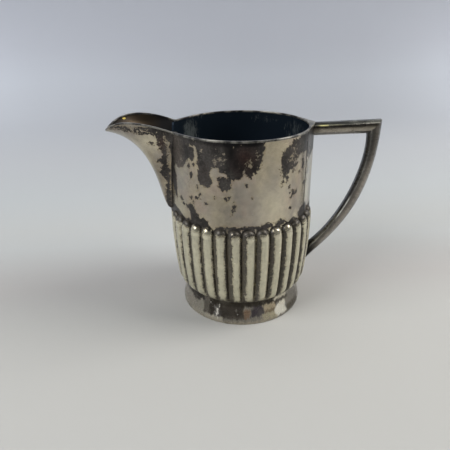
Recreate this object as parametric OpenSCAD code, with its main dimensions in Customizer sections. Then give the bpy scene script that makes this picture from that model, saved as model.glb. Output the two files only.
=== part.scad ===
// Reeded pedestal creamer: soldered hollowware, spout on -X, handle on +X.
// The origin is on the axis of the body, in the plane that the foot stands on.

/* [Body] */
// Inside radius of the mouth
mouth_r = 31; // [27:0.5:36]
// Thickness of the sheet
sheet_t = 0.9; // [0.7:0.1:1.2]
// Height of the rim above the table
rim_z = 90.8; // [84:0.2:104]
// Height of the rounded tops of the reeds
reed_top_z = 51.4; // [46:0.2:58]
// Height at which the reeds bulge most
belly_z = 45; // [40:0.5:50]
// How far the widest reed stands outside the mouth's inner wall
belly_out = 3.6; // [3:0.1:5]
// Radius of the long curve that the reeds follow
belly_bend = 190; // [150:5:400]

/* [Reeds] */
// Number of reeds round the body
reeds = 32; // [24:2:36]
// Depth of the grooves between the reeds
reed_depth = 2; // [1.2:0.1:2.4]
// Height over which the reeds run out at the foot
reed_fade = 3.4; // [2:0.2:6]

/* [Foot] */
// Radius of the foot where it stands
foot_r = 30.5; // [27:0.5:34]
// Height of the foot
foot_h = 11.8; // [9:0.2:14]
// Radius of the neck between foot and body
neck_r = 28.9; // [26:0.1:30]
// Height of the upright edge at the bottom of the foot
foot_edge_h = 1.6; // [1:0.1:3]
// How far the foot's flange reaches in under the shell
flange_w = 4.5; // [3:0.5:8]
// Thickness of the base plate
base_t = 0.9; // [0.7:0.1:1.5]
// Rise of the base plate at its middle
base_rise = 1.2; // [0.4:0.2:3]

/* [Rim] */
// Height of the wire round the mouth
rim_h = 0.8; // [0.6:0.1:1.6]
// How far the wire stands out over the wall
rim_over = 0.3; // [0.2:0.1:1]

/* [Spout] */
// How far the tip of the spout is from the body's axis
tip_x = 61.7; // [54:0.1:70]
// Height of the tip of the spout, below the rim
tip_drop = 0.4; // [-3:0.2:6]
// How high the guides of the spout's edge arch over the rim
lip_arch = 10.6; // [4:0.2:16]
// Height above the reeds where the spout starts
spout_start = 0.4; // [0.2:0.2:4]
// Height of the wire on the spout's edge
lip_h = 0.7; // [0.5:0.1:1]

/* [Handle] */
// How far the handle reaches from the body's axis
handle_x = 66.2; // [58:0.1:76]
// Height of the handle's outer corner, above the rim
handle_rise = 0.2; // [-2:0.1:4]
// Depth of the handle in its own plane
handle_d = 6.3; // [5:0.1:8]
// Breadth of the handle across its plane
handle_b = 4.8; // [3.6:0.1:6.4]
// Width of the bevels along the handle's edges
handle_bevel = 1.4; // [0.8:0.1:1.7]
// Height at which the handle's lower end leaves the body
handle_foot_z = 16.6; // [15:0.1:24]

/* [Hidden] */

// Solder joint left between pieces that meet on a curved face
joint = 0.12;
// Clearance of the base plate in the shell
base_gap = 0.1;

wall_r = mouth_r + sheet_t;
belly_r = mouth_r + belly_out;
wall_top_z = rim_z - rim_h;

function clamp(x) = max(0, min(1, x));
function mix(a, b, t) = a + (b - a) * t;
function bezier(p, t) =
    pow(1 - t, 3) * p[0] + 3 * pow(1 - t, 2) * t * p[1] + 3 * (1 - t) * t * t * p[2] + pow(t, 3) * p[3];
function around(r, a, z) = [r * cos(a), r * sin(a), z];
// Angle that a length takes up on the wall
function wall_angle(length) = length / wall_r * 180 / PI;

// Plan of the plain wall, with angles from the handle's side. It is pointed at the handle, where a
// ridge stands out between two creases, and its flanks lead straight into the spout.
ridge_out = 2.6;
ridge_half_angle = 30;
ridge_r = wall_r + ridge_out;
crease_dip = 0.35;
crease_half_angle = 2;
flank_top_angle = 41;
flank_foot_angle = 24;

function wall_rise(z) = clamp((z - reed_top_z) / (rim_z - reed_top_z));
function flank_angle(z) = mix(flank_foot_angle, flank_top_angle, wall_rise(z));
function handle_side_r(b) =
    b < ridge_half_angle
        ? ridge_r * wall_r * sin(ridge_half_angle)
            / (ridge_r * sin(b) + wall_r * sin(ridge_half_angle - b))
        : wall_r;
function crease(b) = crease_dip * clamp(1 - abs(b - ridge_half_angle) / crease_half_angle);
function spout_side_r(b, z) =
    b < flank_angle(z) ? wall_r / cos(flank_angle(z) - b) : wall_r;
function wall_plan(a, z) =
    cos(a) > 0 ? handle_side_r(abs(a)) - crease(abs(a)) : spout_side_r(180 - abs(a), z);

// Half angle of the spout's seam on the wall, and the height of the wall's cut edge behind it
seam_top_angle = 23.5;
seam_foot_angle = 5.5;
cut_in = 2 * sheet_t;
function seam_angle(z) = mix(seam_foot_angle, seam_top_angle, wall_rise(z));
function cut_share(b) =
    max((b + wall_angle(cut_in) - seam_foot_angle) / (seam_top_angle - seam_foot_angle), 0);
function edge_z(a) =
    min(wall_top_z, max(mix(reed_top_z, rim_z, cut_share(180 - abs(a))), reed_top_z + cut_in));

// Crest line of the reeds: a long curve, and a rounded heel into the neck
heel_h = foot_h / 2;
heel_in = belly_r - pow(belly_z - foot_h, 2) / (2 * belly_bend) - neck_r;
heel_power = 2.4;
function heel(z) = heel_in * pow(clamp((foot_h + heel_h - z) / heel_h), heel_power);
function crest_r(z) = belly_r - pow(belly_z - z, 2) / (2 * belly_bend) - heel(z);

// Section of a reed, where u runs from 0 on its crest to 1 in the groove, and its rounded top
reed_round_share = 0.93;
half_pitch = PI * belly_r / reeds;
dome_foot_z = reed_top_z - 1.5 * half_pitch;
function chord(u) = sqrt(1 - pow(reed_round_share * u, 2));
function reed_section(u) = (chord(u) - chord(1)) / (1 - chord(1));
function reed_r(u, z, depth) =
    crest_r(z) - depth * clamp((z - foot_h) / reed_fade) * (1 - reed_section(u));
function dome_edge_z(u) = reed_top_z - half_pitch * (1 - sqrt(1 - u * u));

// Steps round each reed, and heights of the rings: up the reeds, over their tops, up the plain wall,
// and down inside the flutes
reed_steps = 6;
body_steps = reeds * reed_steps;
ring_shares = [0, 0.05, 0.12, 0.22, 0.36, 0.52, 0.7, 0.86, 1];
dome_shares = [0.4, 0.68, 0.87, 0.97, 1];
wall_shares = [0, 0.78, 1];
flute_shares = [1, 0.75, 0.5, 0.25, 0.1];
// Depth of the flutes inside, as a share of the grooves outside
flute_share = 0.7;

function reed_u(i) =
    let (half = reed_steps / 2)
    abs((i + half) % reed_steps - half) / half;
function body_outside(a, u) = concat(
    [for (s = ring_shares) let (z = mix(foot_h, dome_foot_z, s)) around(reed_r(u, z, reed_depth), a, z)],
    [for (g = dome_shares) let (
        z = mix(dome_foot_z, dome_edge_z(u), g),
        swell = sqrt(1 - g * g),
        r = mix(wall_plan(a, z), reed_r(u, dome_foot_z, reed_depth), swell)
    ) around(r, a, z)],
    [for (s = wall_shares) let (z = mix(reed_top_z + sheet_t, edge_z(a), s)) around(wall_plan(a, z), a, z)]
);
function body_inside(a, u) = concat(
    [for (k = [len(wall_shares) - 1 : -1 : 0])
        let (z = mix(reed_top_z, edge_z(a), wall_shares[k]))
        around(wall_plan(a, z) - sheet_t, a, z)],
    [for (s = flute_shares) let (z = mix(foot_h, dome_foot_z, s))
        around(reed_r(u, z, flute_share * reed_depth) - sheet_t - crease_dip, a, z)],
    [around(neck_r - sheet_t, a, foot_h)]
);

// Faces of a loft through rings of m points each; a closed loft joins its last ring to its first
function loft_sides(n, m, closed) =
    [for (s = [0 : closed ? n - 1 : n - 2], k = [0 : m - 1])
        let (here = s * m, next = (s + 1) % n * m, after = (k + 1) % m)
        each [[here + k, here + after, next + after], [here + k, next + after, next + k]]];
function loft_cap(first, m, flip) =
    [for (k = [0 : m / 2 - 2])
        let (a = first + k, b = first + k + 1, c = first + m - 2 - k, d = first + m - 1 - k)
        each flip ? [[a, b, c], [a, c, d]] : [[a, c, b], [a, d, c]]];
module loft(rings, closed = false) {
    n = len(rings);
    m = len(rings[0]);
    polyhedron(
        points = [for (ring = rings) each ring],
        faces = closed
            ? loft_sides(n, m, true)
            : concat(loft_sides(n, m, false), loft_cap(0, m, false), loft_cap((n - 1) * m, m, true))
    );
}

module body() {
    columns = [for (i = [0 : body_steps - 1])
        let (turn = 360 * i / body_steps, a = turn > 180 ? turn - 360 : turn)
        concat(body_outside(a, reed_u(i)), body_inside(a, reed_u(i)))];
    color([0.72, 0.7, 0.64])
        loft(columns, closed = true);
}

// A flat ring that sits on the foot's flange, and a raised middle
module base_plate() {
    edge_r = neck_r - sheet_t - base_gap;
    ring_r = neck_r - flange_w;
    raised_r = ring_r - 2 * base_rise;
    color([0.6, 0.58, 0.53])
        translate([0, 0, foot_h])
            rotate_extrude($fn = 120)
                polygon([
                    [0, base_rise],
                    [raised_r, base_rise],
                    [ring_r, 0],
                    [edge_r, 0],
                    [edge_r, base_t],
                    [ring_r, base_t],
                    [raised_r, base_rise + base_t],
                    [0, base_rise + base_t]
                ]);
}

// Outside line of the foot: an upright edge, then a hollow curve up to the neck
foot_curve_steps = 10;
foot_hollow_power = 1.6;
function foot_line(s) = [
    mix(neck_r, foot_r, pow(1 - s, foot_hollow_power)),
    mix(foot_edge_h, foot_h, s)
];
module foot_ring() {
    flange_r = neck_r - flange_w;
    flange_z = foot_h - sheet_t;
    line = [for (k = [0 : foot_curve_steps]) foot_line(k / foot_curve_steps)];
    color([0.66, 0.64, 0.58])
        rotate_extrude($fn = 180)
            polygon(concat(
                [[foot_r, 0]],
                line,
                [[flange_r, foot_h], [flange_r, flange_z]],
                [for (k = [foot_curve_steps : -1 : 0]) [line[k][0] - sheet_t, min(line[k][1], flange_z)]],
                [[foot_r - sheet_t, 0]]
            ));
}

// The rim wire runs from one corner of the spout round to the other
rim_steps = 104;
wire_end_angle = seam_top_angle - wall_angle(joint);
rim_end_angle = 180 - seam_top_angle - wall_angle(joint);
function rim_section(a) =
    let (
        out = wall_plan(a, rim_z) + rim_over,
        in = cos(a) > 0 ? mouth_r : wall_plan(a, rim_z) - sheet_t,
        soft = rim_h / 4
    )
    [
        around(in, a, wall_top_z),
        around(out - soft, a, wall_top_z),
        around(out, a, wall_top_z + soft),
        around(out, a, rim_z - 2 * soft),
        around(out - 2 * soft, a, rim_z),
        around(in + soft, a, rim_z)
    ];
module rim_wire() {
    color([0.8, 0.78, 0.72])
        loft([for (k = [0 : rim_steps]) rim_section(mix(-rim_end_angle, rim_end_angle, k / rim_steps))]);
}

// Spout: rows of points run from the seam on the wall to the keel, and are drawn up to the lip.
// Points of the keel are out from the axis and up, and those of the lip out, across and up.
spout_foot_z = reed_top_z + spout_start;
tip_z = rim_z - tip_drop;
keel_foot_x = wall_plan(180, spout_foot_z) + sheet_t;
keel_edge = sheet_t / 3;
keel_tip_z = tip_z - lip_h - keel_edge;
// Guides of the keel, as shares of its run and of its rise
keel_low_shares = [0.15, 0.1];
keel_high_shares = [0.12, 0.89];
function keel_guide(shares) =
    [mix(keel_foot_x, tip_x, shares[0]), mix(spout_foot_z, keel_tip_z, shares[1])];
keel = [
    [keel_foot_x, spout_foot_z],
    keel_guide(keel_low_shares),
    keel_guide(keel_high_shares),
    [tip_x, keel_tip_z]
];

corner_r = wall_plan(180 - seam_top_angle, rim_z) + joint;
corner_x = corner_r * cos(seam_top_angle);
corner_y = corner_r * sin(seam_top_angle);
// Guides of the lip: run, half width and arch over the rim, then half width and dip at the nose
lip_run_share = 0.88;
lip_width_share = 1.05;
nose_share = 1 / 6;
lip = [
    [corner_x, corner_y, rim_z],
    [mix(corner_x, tip_x, lip_run_share), lip_width_share * corner_y, rim_z + lip_arch],
    [tip_x, nose_share * corner_y, tip_z - nose_share * lip_arch],
    [tip_x, 0, tip_z]
];

spout_rows = 18;
spout_columns = 13;
row_step = 1 / spout_rows;
// How late the rows take up the arch of the lip, and the keel its thin edge
arch_power = 5;
thin_power = 4;

// Lip point at share v of the way from the tip (0) to the seam (1)
function lip_point(v) = bezier(lip, 1 - v);
function keel_normal(t) =
    let (d = bezier(keel, min(t + row_step / 4, 1)) - bezier(keel, max(t - row_step / 4, 0)))
    [-d[1], d[0]] / norm(d);
function seam_point(z, inset) =
    let (
        a = seam_angle(z),
        b = max(a - wall_angle(inset), a / 4),
        r = wall_plan(180 - b, z) + joint
    )
    [r * cos(b), r * sin(b)];
function spout_point(t, v, inset) =
    let (
        lip_at = lip_point(v),
        thinned = mix(inset, inset * keel_edge / sheet_t, pow(t, thin_power)),
        nose = bezier(keel, t) + keel_normal(t) * thinned,
        edge = inset == 0 ? keel_edge * min(1, 4 * v) : 0,
        z = nose[1] + pow(t, arch_power) * (lip_at[2] - tip_z + edge),
        seam = seam_point(z, inset),
        run_share = (tip_x - lip_at[0]) / (tip_x - corner_x)
    )
    [mix(nose[0], seam[0], run_share), seam[1] * lip_at[1] / corner_y, z];
function mirrored(p, side) = [-p[0], side * p[1], p[2]];
function spout_column(v, side) = concat(
    [for (k = [0 : spout_rows]) mirrored(spout_point(k * row_step, v, 0), side)],
    [for (k = [spout_rows : -1 : 0]) mirrored(spout_point(k * row_step, v, sheet_t), side)]
);
module spout() {
    back = [for (j = [spout_columns : -1 : 1]) spout_column(j / spout_columns, 1)];
    front = [for (j = [0 : spout_columns]) spout_column(j / spout_columns, -1)];
    color([0.74, 0.72, 0.66])
        loft(concat(back, front));
}

// The wire stands on the spout's edge and is mitred to the ends of the rim wire
lip_over = 0.15;
wire_steps = 24;
function lip_out(v) =
    let (d = bezier(lip, min(1 - v + row_step / 2, 1)) - bezier(lip, max(1 - v - row_step / 2, 0)))
    [-d[1], d[0]] / norm([d[0], d[1]]);
function wire_ring(v, side) =
    let (
        p = lip_point(v),
        out = lip_out(v),
        soft = lip_h / 3,
        low = p[2] - lip_h + joint
    )
    [for (s = [
        [lip_over, low],
        [lip_over, p[2] - soft],
        [lip_over - soft, p[2]],
        [soft - sheet_t, p[2]],
        [-sheet_t, p[2] - soft],
        [-sheet_t, low]
    ])
        let (x = p[0] + out[0] * s[0], y = p[1] + out[1] * s[0])
        mirrored([v == 1 ? y / tan(wire_end_angle) : x, y, s[1]], side)];
module spout_wire() {
    back = [for (j = [wire_steps : -1 : 1]) wire_ring(j / wire_steps, 1)];
    front = [for (j = [0 : wire_steps]) wire_ring(j / wire_steps, -1)];
    color([0.8, 0.78, 0.72])
        loft(concat(back, front));
}

// Handle: a bar with bevelled edges, drawn in the plane y = 0 between an inner and an outer line.
// The top arm leaves the wall a little below the rim, and there it is a little less deep.
// Points are out from the axis and up. The guides are shares of the run from wall to corner, and
// of the rise from the handle's lower end to the rim.
root_z = rim_z - rim_h / 2;
root_d = handle_d - rim_h / 2;
corner_out = [handle_x, rim_z + handle_rise];
corner_in = corner_out - [handle_d, handle_d];
outer_guide_shares = [[1.02, 0.345], [0.25, 0.154]];
inner_guide_shares = [[0.877, 0.752], [0.633, 0.345]];
// The bar meets the body on a slant, so its end takes more height than its depth
end_share = 1.64;
inner_foot_z = handle_foot_z + end_share * handle_d;
function handle_guide(shares) =
    [mix(wall_r, handle_x, shares[0]), mix(handle_foot_z, rim_z, shares[1])];
curve_out = [
    corner_out,
    handle_guide(outer_guide_shares[0]),
    handle_guide(outer_guide_shares[1]),
    [crest_r(handle_foot_z), handle_foot_z]
];
curve_in = [
    corner_in,
    handle_guide(inner_guide_shares[0]),
    handle_guide(inner_guide_shares[1]),
    [crest_r(inner_foot_z), inner_foot_z]
];

bevel_share = handle_bevel / handle_d;
side_share = 1 - 2 * handle_bevel / handle_b;
// Places round the bar: share of the depth from the inner line, and share of the half breadth
bar_shares = [
    [0, 0],
    [0, side_share],
    [bevel_share, 1],
    [1 - bevel_share, 1],
    [1, side_share],
    [1, 0],
    [1, -side_share],
    [1 - bevel_share, -1],
    [bevel_share, -1],
    [0, -side_share]
];
function bar_ring(inner, outer) =
    [for (s = bar_shares)
        let (p = mix(inner, outer, s[0]))
        [p[0], s[1] * handle_b / 2, p[1]]];

// The wall's ridge with its wire, and the reeds by the handle, grown by the solder joint. The arms
// run on into these and are cut to them.
module ridge_seat() {
    margin = rim_over + joint;
    linear_extrude(rim_z + handle_d)
        polygon([
            [0, 0],
            (wall_r + margin) * [cos(ridge_half_angle), -sin(ridge_half_angle)],
            [ridge_r + margin, 0],
            (wall_r + margin) * [cos(ridge_half_angle), sin(ridge_half_angle)]
        ]);
}
module reed_seat() {
    loft([for (i = [-reed_steps : reed_steps])
        let (side = [for (s = ring_shares)
            let (z = mix(foot_h, dome_foot_z, s))
            [reed_r(reed_u(abs(i)), z, reed_depth) + joint, z]])
        [
            for (p = side) around(p[0], 360 * i / body_steps, p[1]),
            for (k = [len(side) - 1 : -1 : 0]) around(side[k][0] / 2, 360 * i / body_steps, side[k][1])
        ]]);
}

module handle_top_arm() {
    color([0.45, 0.44, 0.42])
        difference() {
            loft([
                bar_ring(corner_in, corner_out),
                bar_ring([wall_r, root_z - root_d], [wall_r, root_z])
            ]);
            ridge_seat();
        }
}

arm_steps = 18;
module handle_curved_arm() {
    sunk = [reed_depth, 0];
    color([0.45, 0.44, 0.42])
        difference() {
            loft(concat(
                [bar_ring(curve_in[3] - sunk, curve_out[3] - sunk)],
                [for (k = [arm_steps : -1 : 0])
                    let (t = k / arm_steps)
                    bar_ring(bezier(curve_in, t), bezier(curve_out, t))]
            ));
            reed_seat();
        }
}

body();
base_plate();
foot_ring();
rim_wire();
spout();
spout_wire();
handle_top_arm();
handle_curved_arm();
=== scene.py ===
"""Looks of the silver creamer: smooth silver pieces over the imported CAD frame, with its tarnish.

Sizes are in millimetres, as in the CAD part, and become metres when a mesh is made. Angles round the
body are in degrees from the handle, negative on the side that the photograph shows.
"""

import math

import bmesh
import bpy
import numpy as np
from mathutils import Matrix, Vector


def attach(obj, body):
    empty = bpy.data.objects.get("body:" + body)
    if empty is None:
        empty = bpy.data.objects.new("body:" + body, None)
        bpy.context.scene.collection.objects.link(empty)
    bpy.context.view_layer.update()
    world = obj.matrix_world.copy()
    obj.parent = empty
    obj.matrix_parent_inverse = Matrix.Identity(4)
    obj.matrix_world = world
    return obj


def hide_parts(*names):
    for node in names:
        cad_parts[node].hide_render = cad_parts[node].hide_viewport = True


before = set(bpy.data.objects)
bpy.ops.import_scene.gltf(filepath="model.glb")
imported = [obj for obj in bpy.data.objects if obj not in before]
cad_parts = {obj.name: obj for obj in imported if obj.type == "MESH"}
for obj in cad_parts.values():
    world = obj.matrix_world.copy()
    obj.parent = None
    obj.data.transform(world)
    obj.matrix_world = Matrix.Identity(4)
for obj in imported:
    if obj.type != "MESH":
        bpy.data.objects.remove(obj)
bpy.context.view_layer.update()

MM = 0.001

# Body
mouth_r = 31.0
sheet_t = 0.9
rim_z = 90.8
reed_top_z = 51.4
belly_z = 45.0
belly_out = 3.6
belly_bend = 190.0
reeds = 32
reed_depth = 2.0
reed_fade = 3.4
reed_round_share = 0.93

# Foot
foot_r = 30.5
foot_h = 11.8
neck_r = 28.9
heel_power = 2.4
foot_edge_h = 1.6
foot_round = 0.25
flange_w = 4.5
foot_hollow_power = 1.6

# Rim, spout and handle
rim_h = 0.8
rim_over = 0.3
rim_round = 0.3
tip_x = 61.7
tip_drop = 0.4
lip_arch = 10.6
spout_start = 0.4
lip_h = 0.7
lip_over = 0.15
lip_round = 0.22
handle_x = 66.2
handle_rise = 0.2
handle_d = 6.3
handle_b = 4.8
handle_bevel = 1.4
handle_foot_z = 16.6
# Gap that the solder fills
joint = 0.12

wall_r = mouth_r + sheet_t
belly_r = mouth_r + belly_out
wall_top_z = rim_z - rim_h
half_pitch = math.pi * belly_r / reeds
reed_pitch = 360 / reeds
dome_foot_z = reed_top_z - 1.5 * half_pitch

# Plan of the plain wall
ridge_out = 2.6
ridge_half_angle = 30.0
ridge_r = wall_r + ridge_out
crease_dip = 0.35
crease_half_angle = 2.0
flank_top_angle = 41.0
flank_foot_angle = 24.0
seam_top_angle = 23.5
seam_foot_angle = 5.5
cut_in = 2 * sheet_t


def sin(a):
    return np.sin(np.radians(a))


def cos(a):
    return np.cos(np.radians(a))


def mix(a, b, t):
    return a + (b - a) * t


def clamp(x):
    return np.clip(x, 0, 1)


def rise(x, start, length):
    """0 up to the start, and 1 from a length beyond it."""
    return clamp((x - start) / length)


def fall(x, end, length):
    """1 up to a length before the end, and 0 from the end."""
    return clamp((end - x) / length)


def bezier(p, t):
    return (1 - t) ** 3 * p[0] + 3 * (1 - t) ** 2 * t * p[1] + 3 * (1 - t) * t * t * p[2] + t ** 3 * p[3]


def tangent(p, t, step):
    return bezier(p, min(t + step, 1)) - bezier(p, max(t - step, 0))


def wall_angle(length):
    return math.degrees(length / wall_r)


# The wall and the reeds

def wall_rise(z):
    return rise(z, reed_top_z, rim_z - reed_top_z)


def crease(b):
    return crease_dip * clamp(1 - np.abs(b - ridge_half_angle) / crease_half_angle)


def wall_plan(a, z):
    b = np.abs(a)
    near = np.minimum(b, ridge_half_angle)
    ridge = ridge_r * wall_r * sin(ridge_half_angle) / (
        ridge_r * sin(near) + wall_r * sin(ridge_half_angle - near))
    off = 180 - b
    flank = mix(flank_foot_angle, flank_top_angle, wall_rise(z))
    spout_side = wall_r / cos(np.maximum(flank - off, 0))
    return np.where(b < 90, ridge - crease(b), spout_side)


def edge_z(a):
    b = 180 - np.abs(a)
    share = np.maximum((b + wall_angle(cut_in) - seam_foot_angle) / (seam_top_angle - seam_foot_angle), 0)
    return np.minimum(wall_top_z, np.maximum(mix(reed_top_z, rim_z, share), reed_top_z + cut_in))


def crest_r(z):
    heel_h = foot_h / 2
    heel_in = belly_r - (belly_z - foot_h) ** 2 / (2 * belly_bend) - neck_r
    heel = heel_in * fall(z, foot_h + heel_h, heel_h) ** heel_power
    return belly_r - (belly_z - z) ** 2 / (2 * belly_bend) - heel


def chord(u):
    return np.sqrt(1 - (reed_round_share * u) ** 2)


def reed_r(u, z, depth):
    roundness = (chord(u) - chord(1)) / (1 - chord(1))
    return crest_r(z) - depth * rise(z, foot_h, reed_fade) * (1 - roundness)


def reed_across(a):
    """Place across a reed: 0 on its crest, -1 and 1 in the grooves beside it."""
    return (a / reed_pitch + 0.5) % 1 * 2 - 1


def reed_u(a):
    return np.abs(reed_across(a))


def dome_edge_z(u):
    return reed_top_z - half_pitch * (1 - np.sqrt(1 - u * u))


# Mesh making

def face_out(mesh):
    """Turns every face to look out of the closed piece."""
    shape = bmesh.new()
    shape.from_mesh(mesh)
    bmesh.ops.recalc_face_normals(shape, faces=shape.faces)
    shape.to_mesh(mesh)
    shape.free()


def make_mesh(name, points, faces, materials):
    mesh = bpy.data.meshes.new(name)
    mesh.from_pydata((np.asarray(points) * MM).tolist(), [], faces)
    for material in materials:
        mesh.materials.append(material)
    mesh.polygons.foreach_set("use_smooth", [True] * len(faces))
    return mesh


def add_object(name, data):
    thing = bpy.data.objects.new(name, data)
    bpy.context.scene.collection.objects.link(thing)
    return thing


def make_piece(name, points, faces, nodes, materials, sharp, face_materials=None):
    """A smooth piece that stands for CAD nodes. Edges sharper than an angle stay sharp."""
    mesh = make_mesh(name, points, faces, materials)
    if face_materials:
        mesh.polygons.foreach_set("material_index", face_materials)
    face_out(mesh)
    mesh.set_sharp_from_angle(angle=math.radians(sharp))
    mesh.update()
    piece = add_object(name, mesh)
    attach(piece, "root")
    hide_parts(*nodes)
    return piece


def grid_faces(columns, rows, wrap_columns, wrap_rows):
    """Faces between points that are listed column by column."""
    faces = []
    for c in range(columns if wrap_columns else columns - 1):
        d = (c + 1) % columns
        for r in range(rows if wrap_rows else rows - 1):
            s = (r + 1) % rows
            faces.append((c * rows + r, d * rows + r, d * rows + s, c * rows + s))
    return faces


def end_faces(rings):
    """Flat faces that close a row of rings at its ends."""
    count = len(rings[0])
    return [tuple(reversed(range(count))), tuple(range((len(rings) - 1) * count, len(rings) * count))]


def turned(a, r, z):
    return np.stack([r * cos(a), r * sin(a), z], -1).reshape(-1, 3)


def add_values(piece, name, values):
    attribute = piece.data.attributes.new(name, "FLOAT", "POINT")
    attribute.data.foreach_set("value", np.asarray(values, dtype=float).ravel())


def add_colours(piece, name, colours):
    attribute = piece.data.attributes.new(name, "FLOAT_COLOR", "POINT")
    attribute.data.foreach_set("color", np.insert(colours, 3, 1, axis=1).ravel())


# Where the silver is tarnished. Outlines are rows of angle and height, and a patch's
# fifth number is its strength.

under_rim_outline = [
    (-180, 93), (-180, 70), (-166, 71), (-159, 76.5), (-156.5, 76.3), (-152.5, 75.4), (-148, 76.6),
    (-144.5, 79.5), (-140, 80.9), (-137, 80.2), (-134.3, 82), (-133.6, 84.8), (-136.5, 87), (-134, 87.8),
    (-131.6, 86), (-131, 83), (-131, 75.5), (-132.2, 74), (-131, 71.6), (-127.5, 70.3), (-122, 69.8),
    (-118.3, 71.8), (-118.2, 73.6), (-120.8, 76.6), (-118, 79), (-114, 79.6), (-112.5, 77.6),
    (-108, 77.3), (-106.4, 77), (-106.6, 75.3), (-110, 75.7), (-114.8, 75), (-113.2, 73.6),
    (-113.4, 71.5), (-110, 69), (-107.5, 68.9), (-103.5, 70.8), (-102.8, 74.2), (-100, 75.2), (-97.5, 74),
    (-95.5, 75), (-94, 77), (-91.5, 75.8), (-88.5, 75), (-86.5, 77.2), (-83.5, 78), (-81.4, 80.3),
    (-80.2, 83.3), (-78.8, 87), (-78.4, 93),
]
by_handle_outline = [
    (-30, 93), (-40, 93), (-45, 89.5), (-51, 89), (-57.5, 86.4), (-62.5, 85), (-64.8, 82), (-64, 79),
    (-63.8, 76), (-61.5, 73.8), (-57.5, 72), (-55.5, 73), (-57.8, 74.5), (-54.5, 76.3), (-49, 77.4),
    (-47, 78.2), (-50, 80), (-46, 81.3), (-39, 82.4), (-31, 81), (-28, 79), (-20, 76), (0, 78), (0, 93),
]
over_reeds_outline = [
    (-180, 49), (-180, 55), (-165, 54.5), (-156, 53), (-149, 51.6), (-145, 52.8), (-141.2, 52.4),
    (-141.2, 57), (-145.5, 57.8), (-148, 59.2), (-145, 59.2), (-141, 60.5), (-137.8, 60), (-133, 56.8),
    (-131, 54.9), (-127, 55.5), (-123.5, 54), (-121, 51), (-116, 50),
]
wall_outlines = [under_rim_outline, by_handle_outline, over_reeds_outline]
# Small patches: angle, height, half width in degrees, half height
wall_patches = [
    (-163.5, 69, 3.6, 9), (-154.5, 60.8, 2.4, 1), (-150, 58.8, 2.4, 0.5), (-140.7, 78, 1.7, 1.3),
    (-134.5, 79, 1.9, 0.8), (-138.5, 74.2, 1.9, 1.5), (-131.8, 68.8, 1, 1.2), (-130, 66, 1.3, 0.8),
    (-134, 64.2, 2.6, 0.6), (-139.5, 63.3, 2.4, 0.7), (-137.2, 61.8, 0.8, 0.8), (-124.3, 62.5, 1.3, 0.7),
    (-117, 66, 0.7, 0.5), (-107.6, 65.6, 1.5, 0.9), (-105.4, 66.6, 1.2, 0.8), (-100.9, 62.2, 1.4, 1.7),
    (-102.4, 60, 1, 1.3), (-91.8, 72, 0.9, 0.8), (-87.3, 66.3, 0.6, 0.4), (-38, 76.4, 2, 2),
    (-41.5, 74.3, 1.2, 0.5), (-34, 67.3, 2, 0.9), (-50.5, 65.6, 3, 1.3), (-52, 64.4, 1.2, 0.8),
    (-47, 65.5, 1.8, 0.7), (-53, 58.7, 1, 0.7), (-55, 68.4, 0.8, 0.6), (-64, 70.5, 1.2, 0.5),
    (-61, 71.6, 1, 0.4), (-51, 75.8, 0.9, 0.5), (-75.5, 52.6, 5, 1.5), (-63.5, 52.9, 5, 1.5),
    (-50, 52, 4.2, 1.3), (-31, 53.5, 11, 3.2), (-25, 82, 2.4, 1.6), (-21, 78, 2, 1.4),
    (-26, 74.5, 1.8, 1.6), (-21, 71, 1.6, 1.2), (-25, 67, 1.6, 0.9), (-22, 63, 1.3, 0.8),
    (-104, 52.2, 8, 0.9), (-90, 52.3, 12, 0.8),
]
wall_marks = {
    # Where the silver shines in specks through the dark patches
    "worn": [
        (-112, 83, 6.5, 4.5), (-127, 85, 2.2, 3.5), (-90, 81, 5, 3), (-84, 85, 2.5, 3), (-94, 77.5, 4, 2),
        (-53, 82, 8, 7, 0.8), (-108, 74.5, 2, 1.2), (-41, 81.5, 7, 1.8), (-150, 80, 3, 2),
        (-139, 87, 4, 1.4), (-20, 72, 9, 22),
    ],
    "red": [(-94, 83, 13, 9), (-125, 76, 7, 6, 0.2), (-72, 38, 2.5, 9), (-84, 32, 2, 8, 0.7)],
    "black": [
        (-103, 86, 7, 9), (-96, 79, 7, 6, 0.7), (-86, 79, 5, 4, 0.7), (-88, 89, 9, 2.5, 0.6),
        (-104, 89.6, 44, 1.6, 0.9),
    ],
    "pale": [(-153, 80, 8, 16, 0.5), (-158, 60, 5, 14, 0.5), (-50, 84, 14, 8, 0.1)],
    # Where there are more dark specks in the silver
    "speck": [
        (-22, 72, 11, 30), (-47, 76, 16, 16, 0.5), (-138, 70, 12, 16, 0.4), (-126, 58, 12, 5, 0.3),
        (-85, 32, 50, 15, 0.3),
    ],
}
# Where a thin film darkens the clean silver. A strength below zero is painted light, which makes it
# brighter.
film_and_light_patches = [
    (-108, 60, 15, 19, 0.95), (-94, 64, 8, 14, 0.3), (-45, 54, 5, 4, -0.7), (-68, 60, 18, 22, -0.6),
    (-20, 62, 12, 10, -0.9), (-70, 76, 10, 10, 0.35), (-124, 66, 8, 9, 0.35), (-100, 52.5, 24, 3, 0.3),
]
# Where the edges of the patches are more broken
broken_patches = [(-54, 79, 24, 22)]
# Below 1, patches are stronger towards their edges
patch_power = 0.7
# How wide each reed is clean, at angles round the body, as a share of the reed
clean_shares = [
    (-180, 0.55), (-146, 0.52), (-135, 0.5), (-123.8, 0.6), (-112.5, 0.5), (-101.3, 0.45), (-90, 0.64),
    (-78.8, 0.68), (-67.5, 0.66), (-56.3, 0.62), (-45, 0.6), (-33.8, 0.56), (0, 0.55),
]
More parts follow.
